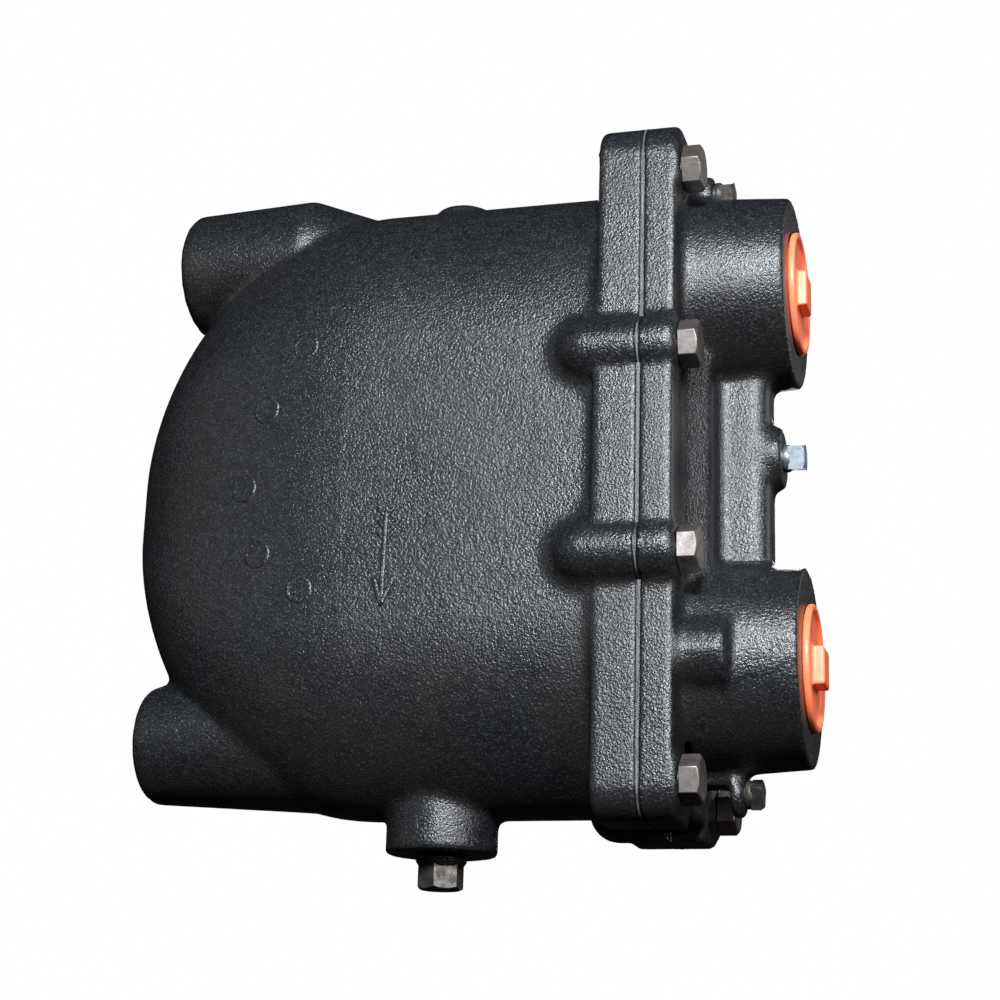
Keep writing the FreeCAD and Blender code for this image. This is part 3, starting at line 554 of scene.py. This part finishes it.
def finish_marks(name, mesh_parts):
    mesh = bpy.data.meshes.new(name)
    mesh.from_pydata([tuple(p) for p in mesh_parts[0]], [], mesh_parts[1])
    work = bmesh.new()
    work.from_mesh(mesh)
    bmesh.ops.remove_doubles(work, verts=work.verts, dist=1e-6)
    bmesh.ops.dissolve_degenerate(work, edges=work.edges, dist=1e-7)
    for face in work.faces:
        if face.normal.y > 0:
            face.normal_flip()
    work.to_mesh(mesh)
    work.free()
    smooth(mesh)
    return add_object(name, mesh, BLACK)


near_wall = wall_finder(body)

arrow = ([], [])
ARROW_X, TAIL_Z, TIP_Z = -104.5, -20.0, -59.5
SHAFT = (1.4, 0.95)
FEATHER = (0.8, 0.8)
stroke(arrow, near_wall, (ARROW_X, TAIL_Z - 2), (ARROW_X - 0.6, TIP_Z + 2), *SHAFT)
for side in (-1, 1):
    stroke(arrow, near_wall, (ARROW_X - 0.6, TIP_Z), (ARROW_X + side * 3.9, TIP_Z + 10), *SHAFT)
    for drop in (0, 5, 10):
        feather_root = (ARROW_X, TAIL_Z - 4 - drop)
        stroke(arrow, near_wall, feather_root, (ARROW_X + side * 3.4, TAIL_Z - drop), *FEATHER)
finish_marks("down_arrow", arrow)

marks = ([], [])
MARK_RADIUS = 5.6
MARKS = [(-144, 53), (-160.7, 26.5), (-169.4, -7), (-161, -36), (-141, -52)]
for x, z in MARKS:
    disc_mark(marks, near_wall, x, z, MARK_RADIUS)
finish_marks("cast_marks", marks)

# ---------------------------------------------------------------- bolts and plugs

STEPS = 72


def circle(radius, height):
    return [(radius * math.cos(a), radius * math.sin(a), height)
            for a in np.arange(STEPS) * 2 * math.pi / STEPS]


def flats_ring(sides, flats, spin, height_at):
    """A ring of points round a prism. height_at(radius) gives the height at a distance from the axis."""
    sector = 2 * math.pi / sides
    ring = []
    for a in spin + np.arange(STEPS) * 2 * math.pi / STEPS:
        radius = flats / 2 / math.cos((a - spin) % sector - sector / 2)
        ring.append((radius * math.cos(a), radius * math.sin(a), height_at(radius)))
    return ring


def wrench_head(sides, flats, base, top, spin, chamfer=0.94):
    """Rings of a head whose corners are turned off by a cone, from its base to its top."""
    flat_radius = flats / 2 * chamfer
    turn = [(x * math.cos(spin) - y * math.sin(spin), x * math.sin(spin) + y * math.cos(spin), z)
            for x, y, z in circle(flat_radius, top)]
    return [
        flats_ring(sides, flats, spin, lambda r: base),
        flats_ring(sides, flats, spin, lambda r: top - (r - flat_radius) * math.tan(math.radians(30))),
        turn,
    ]


def assemble(name, parts, material, stands_for, rounding=0.28):
    """One piece from several meshes, each a list of rings with its origin and its axis."""
    whole = bmesh.new()
    for rings, origin, axis in parts:
        mesh = ring_mesh("part", rings)
        mesh.transform(Matrix.Translation(origin) @ (turned(axis) * MM).to_4x4())
        whole.from_mesh(mesh)
        bpy.data.meshes.remove(mesh)
    bmesh.ops.recalc_face_normals(whole, faces=whole.faces)
    mesh = bpy.data.meshes.new(name)
    whole.to_mesh(mesh)
    whole.free()
    smooth(mesh, 28)
    thing = add_object(name, mesh, material, stands_for=stands_for)
    bevel = thing.modifiers.new("worn edges", "BEVEL")
    bevel.width = rounding * MM
    bevel.segments = 2
    bevel.limit_method = "ANGLE"
    bevel.angle_limit = math.radians(28)
    bevel.harden_normals = False


def corner_angle(points, centre, axis):
    """Angle of the corner farthest from the axis, seen along it."""
    local = (np.array(points) - np.array(centre)) @ np.array(turned(axis))
    far = local[np.argmax(np.hypot(local[:, 0], local[:, 1]))]
    return math.atan2(far[1], far[0])


X_AXIS, DOWN = (1, 0, 0), (0, 0, -1)
BOLT_FLATS, BOLT_HEAD, BOLT_RADIUS = 17.0, 8.0, 5.0
bolt_seat = GASKET.x + PAD_FACE
bolts = []
for points in solids("cover_bolts"):
    low, high = points.min(0), points.max(0)
    middle = (low + high) / 2
    length = (bolt_seat * MM - low[0]) / MM
    origin = Vector((bolt_seat * MM, middle[1], middle[2]))
    head = points[points[:, 0] > (bolt_seat + 1) * MM]
    spin = corner_angle(head, origin, X_AXIS)
    bolts.append((wrench_head(6, BOLT_FLATS, 0.0, BOLT_HEAD, spin), origin, X_AXIS))
    bolts.append(([circle(BOLT_RADIUS - 1, -length), circle(BOLT_RADIUS, 1 - length),
                   circle(BOLT_RADIUS, 0.5)], origin, X_AXIS))
assemble("cover_bolt_set", bolts, STEEL, ["cover_bolts"], 0.35)

PLUG_SQUARE, PLUG_COLLAR, PLUG_SHANK = 9.5, 2.5, 4.2
for name, material, slot, head_length in (("cover_top_plug", PLUG_STEEL, "bolt_steel", 5.2),
                                          ("cover_middle_plug", ZINC, "zinc_steel", 6.2),
                                          ("cover_bottom_plug", PLUG_STEEL, "bolt_steel", 4.0)):
    points = solids(name)[0]
    low, high = points.min(0), points.max(0)
    tip = high[0] / MM
    seat = tip - head_length - PLUG_COLLAR
    origin = Vector((seat * MM, (low[1] + high[1]) / 2, (low[2] + high[2]) / 2))
    spin = corner_angle(points[points[:, 0] > (tip - 1) * MM], origin, X_AXIS)
    shank = low[0] / MM - seat
    assemble(f"{name}_piece", [
        ([circle(PLUG_SHANK - 0.6, shank), circle(PLUG_SHANK, shank + 1), circle(PLUG_SHANK + 0.3, 0.2)],
         origin, X_AXIS),
        ([circle(5.5, 0.0), circle(5.7, 0.4), circle(5.7, 1.9), circle(5.2, 2.7)], origin, X_AXIS),
        (wrench_head(4, PLUG_SQUARE, 2.0, PLUG_COLLAR + head_length, spin, 1.12), origin, X_AXIS),
    ], material, [name], 0.45)

points = solids("drain_plug")[0]
low, high = points.min(0), points.max(0)
DRAIN_FLATS, DRAIN_HEAD, DRAIN_COLLAR = 16.5, 9.5, 4.5
DRAIN_RADIUS, DRAIN_SHANK = 8.2, 16
seat = low[2] / MM + DRAIN_HEAD + DRAIN_COLLAR
origin = Vector(((low[0] + high[0]) / 2, (low[1] + high[1]) / 2, seat * MM))
spin = corner_angle(points[points[:, 2] < (seat - DRAIN_COLLAR - 1) * MM], origin, DOWN)
thread = [circle(DRAIN_RADIUS - 1.0, -DRAIN_SHANK), circle(DRAIN_RADIUS, 1 - DRAIN_SHANK),
          circle(DRAIN_RADIUS, -1)]
collar = [(8.6, -0.4), (10.5, 0.0), (10.7, 0.35), (10.7, 0.9), (10.35, 1.1), (10.35, 1.3), (10.7, 1.5),
          (10.65, 2.1), (10.2, 2.3), (10.2, 2.5), (10.4, 2.7), (10.0, 3.3), (9.3, 4.4), (9.0, 4.9)]
assemble("drain_plug_piece", [
    (thread, origin, DOWN),
    ([circle(radius, height) for radius, height in collar], origin, DOWN),
    (wrench_head(6, DRAIN_FLATS, 3.6, DRAIN_COLLAR + DRAIN_HEAD, spin, 0.97), origin, DOWN),
], PLUG_STEEL, ["drain_plug"], 0.4)

# ---------------------------------------------------------------- thread protectors

PROTECTOR_PITCH = 0.42
PROTECTOR_FACES = 60_000

for port in ("inlet", "outlet"):
    node = f"{port}_thread_protector"
    mesh = cast_mesh(f"{port}_protector", node, PROTECTOR_PITCH, [(0.7, 0.5, everywhere)], nowhere)
    relax(mesh, 2)
    thing = add_object(f"{port}_protector", mesh, ORANGE, stands_for=[node])
    mesh.calc_loop_triangles()
    thin(thing, min(1.0, PROTECTOR_FACES / len(mesh.loop_triangles)))

# ---------------------------------------------------------------- threads of the spare ports


SPARE_RADIUS, SPARE_LENGTH, SPARE_PITCH, RIDGE_HEIGHT = 15.2, 18.5, 2.21, 0.95
THREAD_INSET = 2.0
STEPS_PER_TURN = 60


def thread_ridge(name, start, axis, radius, length, pitch, height):
    """A helical ridge inside a tapped hole, running in from its mouth along the axis."""
    turns = length / pitch
    count = int(turns * STEPS_PER_TURN)
    profile = [(-0.5, 0.25), (-0.12, -height), (0.12, -height), (0.5, 0.25)]
    rows = []
    for i in range(count + 1):
        a = 2 * math.pi * turns * i / count
        along = pitch * turns * i / count
        fade = min(1.0, 8 * i / count, 8 * (count - i) / count)
        row = []
        for share, out in profile:
            reach = radius + out * (fade if out < 0 else 1)
            row.append((reach * math.cos(a), reach * math.sin(a), along + share * pitch))
        rows.append(row)
    mesh = ring_mesh(name, rows)
    mesh.transform(Matrix.Translation(start) @ (turned(axis) * MM).to_4x4())
    work = bmesh.new()
    work.from_mesh(mesh)
    bmesh.ops.recalc_face_normals(work, faces=work.faces)
    work.to_mesh(mesh)
    work.free()
    smooth(mesh, 25)
    return add_object(name, mesh, THREAD_STEEL)


for name, face, z in (("spare_inlet_thread", SPARE_INLET_FACE, SPARE_INLET_Z),
                      ("spare_outlet_thread", SPARE_OUTLET_FACE, SPARE_OUTLET_Z)):
    thread_ridge(name, place(face + THREAD_INSET, 0, z), X_AXIS, SPARE_RADIUS, SPARE_LENGTH, SPARE_PITCH,
                 RIDGE_HEIGHT)

# ---------------------------------------------------------------- materials of the pieces that stay

FINISHES = {
    "cover_gasket": GASKET_SHEET,
    "valve_seat_gasket": GASKET_SHEET,
    "air_vent_seat_gasket": GASKET_SHEET,
}
for name, thing in nodes.items():
    if thing.hide_render:
        continue
    finish = FINISHES.get(name, STAINLESS)
    thing.data.materials.clear()
    thing.data.materials.append(finish)

# ---------------------------------------------------------------- floor, backdrop, lights and camera

# The object hangs clear of the floor, because it is seen from below its middle.
FLOOR_GAP = 0.75
FLOOR_HALF_SIZE = 4.0
FLOOR_GLOW = 0.75


def stage_mesh(name, mesh, material):
    thing = bpy.data.objects.new(name, mesh)
    bpy.context.scene.collection.objects.link(thing)
    mesh.materials.append(material)
    return thing


backdrop_paint = bpy.data.materials.new("white backdrop")
backdrop_paint.use_nodes = True
tree = backdrop_paint.node_tree
tree.nodes.clear()
glow = tree.nodes.new("ShaderNodeEmission")
glow.inputs["Color"].default_value = rgb(1.0, 1.0, 1.0)
glow.inputs["Strength"].default_value = 1.0
tree.links.new(glow.outputs[0], tree.nodes.new("ShaderNodeOutputMaterial").inputs[0])
backdrop_mesh = bpy.data.meshes.new("backdrop")
work = bmesh.new()
bmesh.ops.create_uvsphere(work, u_segments=48, v_segments=24, radius=6.9)
work.to_mesh(backdrop_mesh)
work.free()
backdrop = stage_mesh("backdrop", backdrop_mesh, backdrop_paint)


def floor_paint():
    """Plain pale floor, with a faint mottle."""
    m = Nodes("pale floor")
    tone = m.mix(m.ramp(m.noise(0.3, 3.0, 0.5), 0.3, 0.7), rgb(0.80, 0.80, 0.79), rgb(0.84, 0.84, 0.83))
    m.shader.inputs["Emission Color"].default_value = rgb(1.0, 1.0, 1.0)
    m.shader.inputs["Emission Strength"].default_value = FLOOR_GLOW
    return m.finish(Base_Color=tone, Roughness=0.8)


floor_mesh = bpy.data.meshes.new("floor")
work = bmesh.new()
bmesh.ops.create_grid(work, x_segments=1, y_segments=1, size=FLOOR_HALF_SIZE)
work.to_mesh(floor_mesh)
work.free()
floor_mesh.transform(Matrix.Translation((0, 0, cad_box[0][2] - FLOOR_GAP)))
floor = stage_mesh("floor", floor_mesh, floor_paint())
for thing in (backdrop, floor):
    for ray in ("diffuse", "glossy", "transmission", "volume_scatter"):
        setattr(thing, f"visible_{ray}", False)
    thing.visible_shadow = False


def area_light(name, position, target, size, power, colour):
    light = bpy.data.lights.new(name, "AREA")
    light.shape = "RECTANGLE"
    light.size, light.size_y = size
    light.energy = power
    light.color = colour
    thing = bpy.data.objects.new(name, light)
    bpy.context.scene.collection.objects.link(thing)
    thing.location = position
    thing.rotation_euler = (Vector(target) - Vector(position)).to_track_quat("-Z", "Y").to_euler()


CENTRE = place(-60, 0, 0)
area_light("key", CENTRE + Vector((0.25, -1.04, 0.36)), CENTRE, (0.24, 0.18), 30, (0.90, 0.95, 1.0))
area_light("side", CENTRE + Vector((1.25, -1.05, 0.28)), CENTRE, (0.5, 0.5), 16, (1.0, 0.99, 0.97))
area_light("left", CENTRE + Vector((-1.5, -1.0, 0.4)), CENTRE, (0.8, 0.8), 2, (1.0, 0.99, 0.97))
area_light("back", CENTRE + Vector((-0.3, 1.3, 0.45)), CENTRE, (0.8, 0.6), 20, (0.95, 0.97, 1.0))
area_light("far side", CENTRE + Vector((1.2, 1.0, 0.5)), CENTRE, (0.6, 0.6), 3, (1.0, 0.99, 0.97))

world = bpy.data.worlds.new("studio")
bpy.context.scene.world = world
world.use_nodes = True
world.node_tree.nodes["Background"].inputs["Color"].default_value = rgb(0.95, 0.97, 1.0)
world.node_tree.nodes["Background"].inputs["Strength"].default_value = 0.012

YAW, PITCH, ROLL = (math.radians(a) for a in (15.919, 16.575, 1.730))
forward = Vector((-math.sin(YAW) * math.cos(PITCH), math.cos(YAW) * math.cos(PITCH), math.sin(PITCH)))
level = Vector((math.cos(YAW), math.sin(YAW), 0))
upright = level.cross(forward)
right = math.cos(ROLL) * level + math.sin(ROLL) * upright
up = math.cos(ROLL) * upright - math.sin(ROLL) * level
camera_data = bpy.data.cameras.new("camera")
camera_data.sensor_width = 36.0
camera_data.lens = 75.48
camera_data.clip_start, camera_data.clip_end = 0.02, 30.0
camera = bpy.data.objects.new("camera", camera_data)
bpy.context.scene.collection.objects.link(camera)
turn = Matrix((right, up, -forward)).transposed().to_4x4()
camera.matrix_world = Matrix.Translation(place(162.26, -818.75, -256.87)) @ turn
bpy.context.scene.camera = camera

bpy.context.scene.view_settings.view_transform = "Standard"
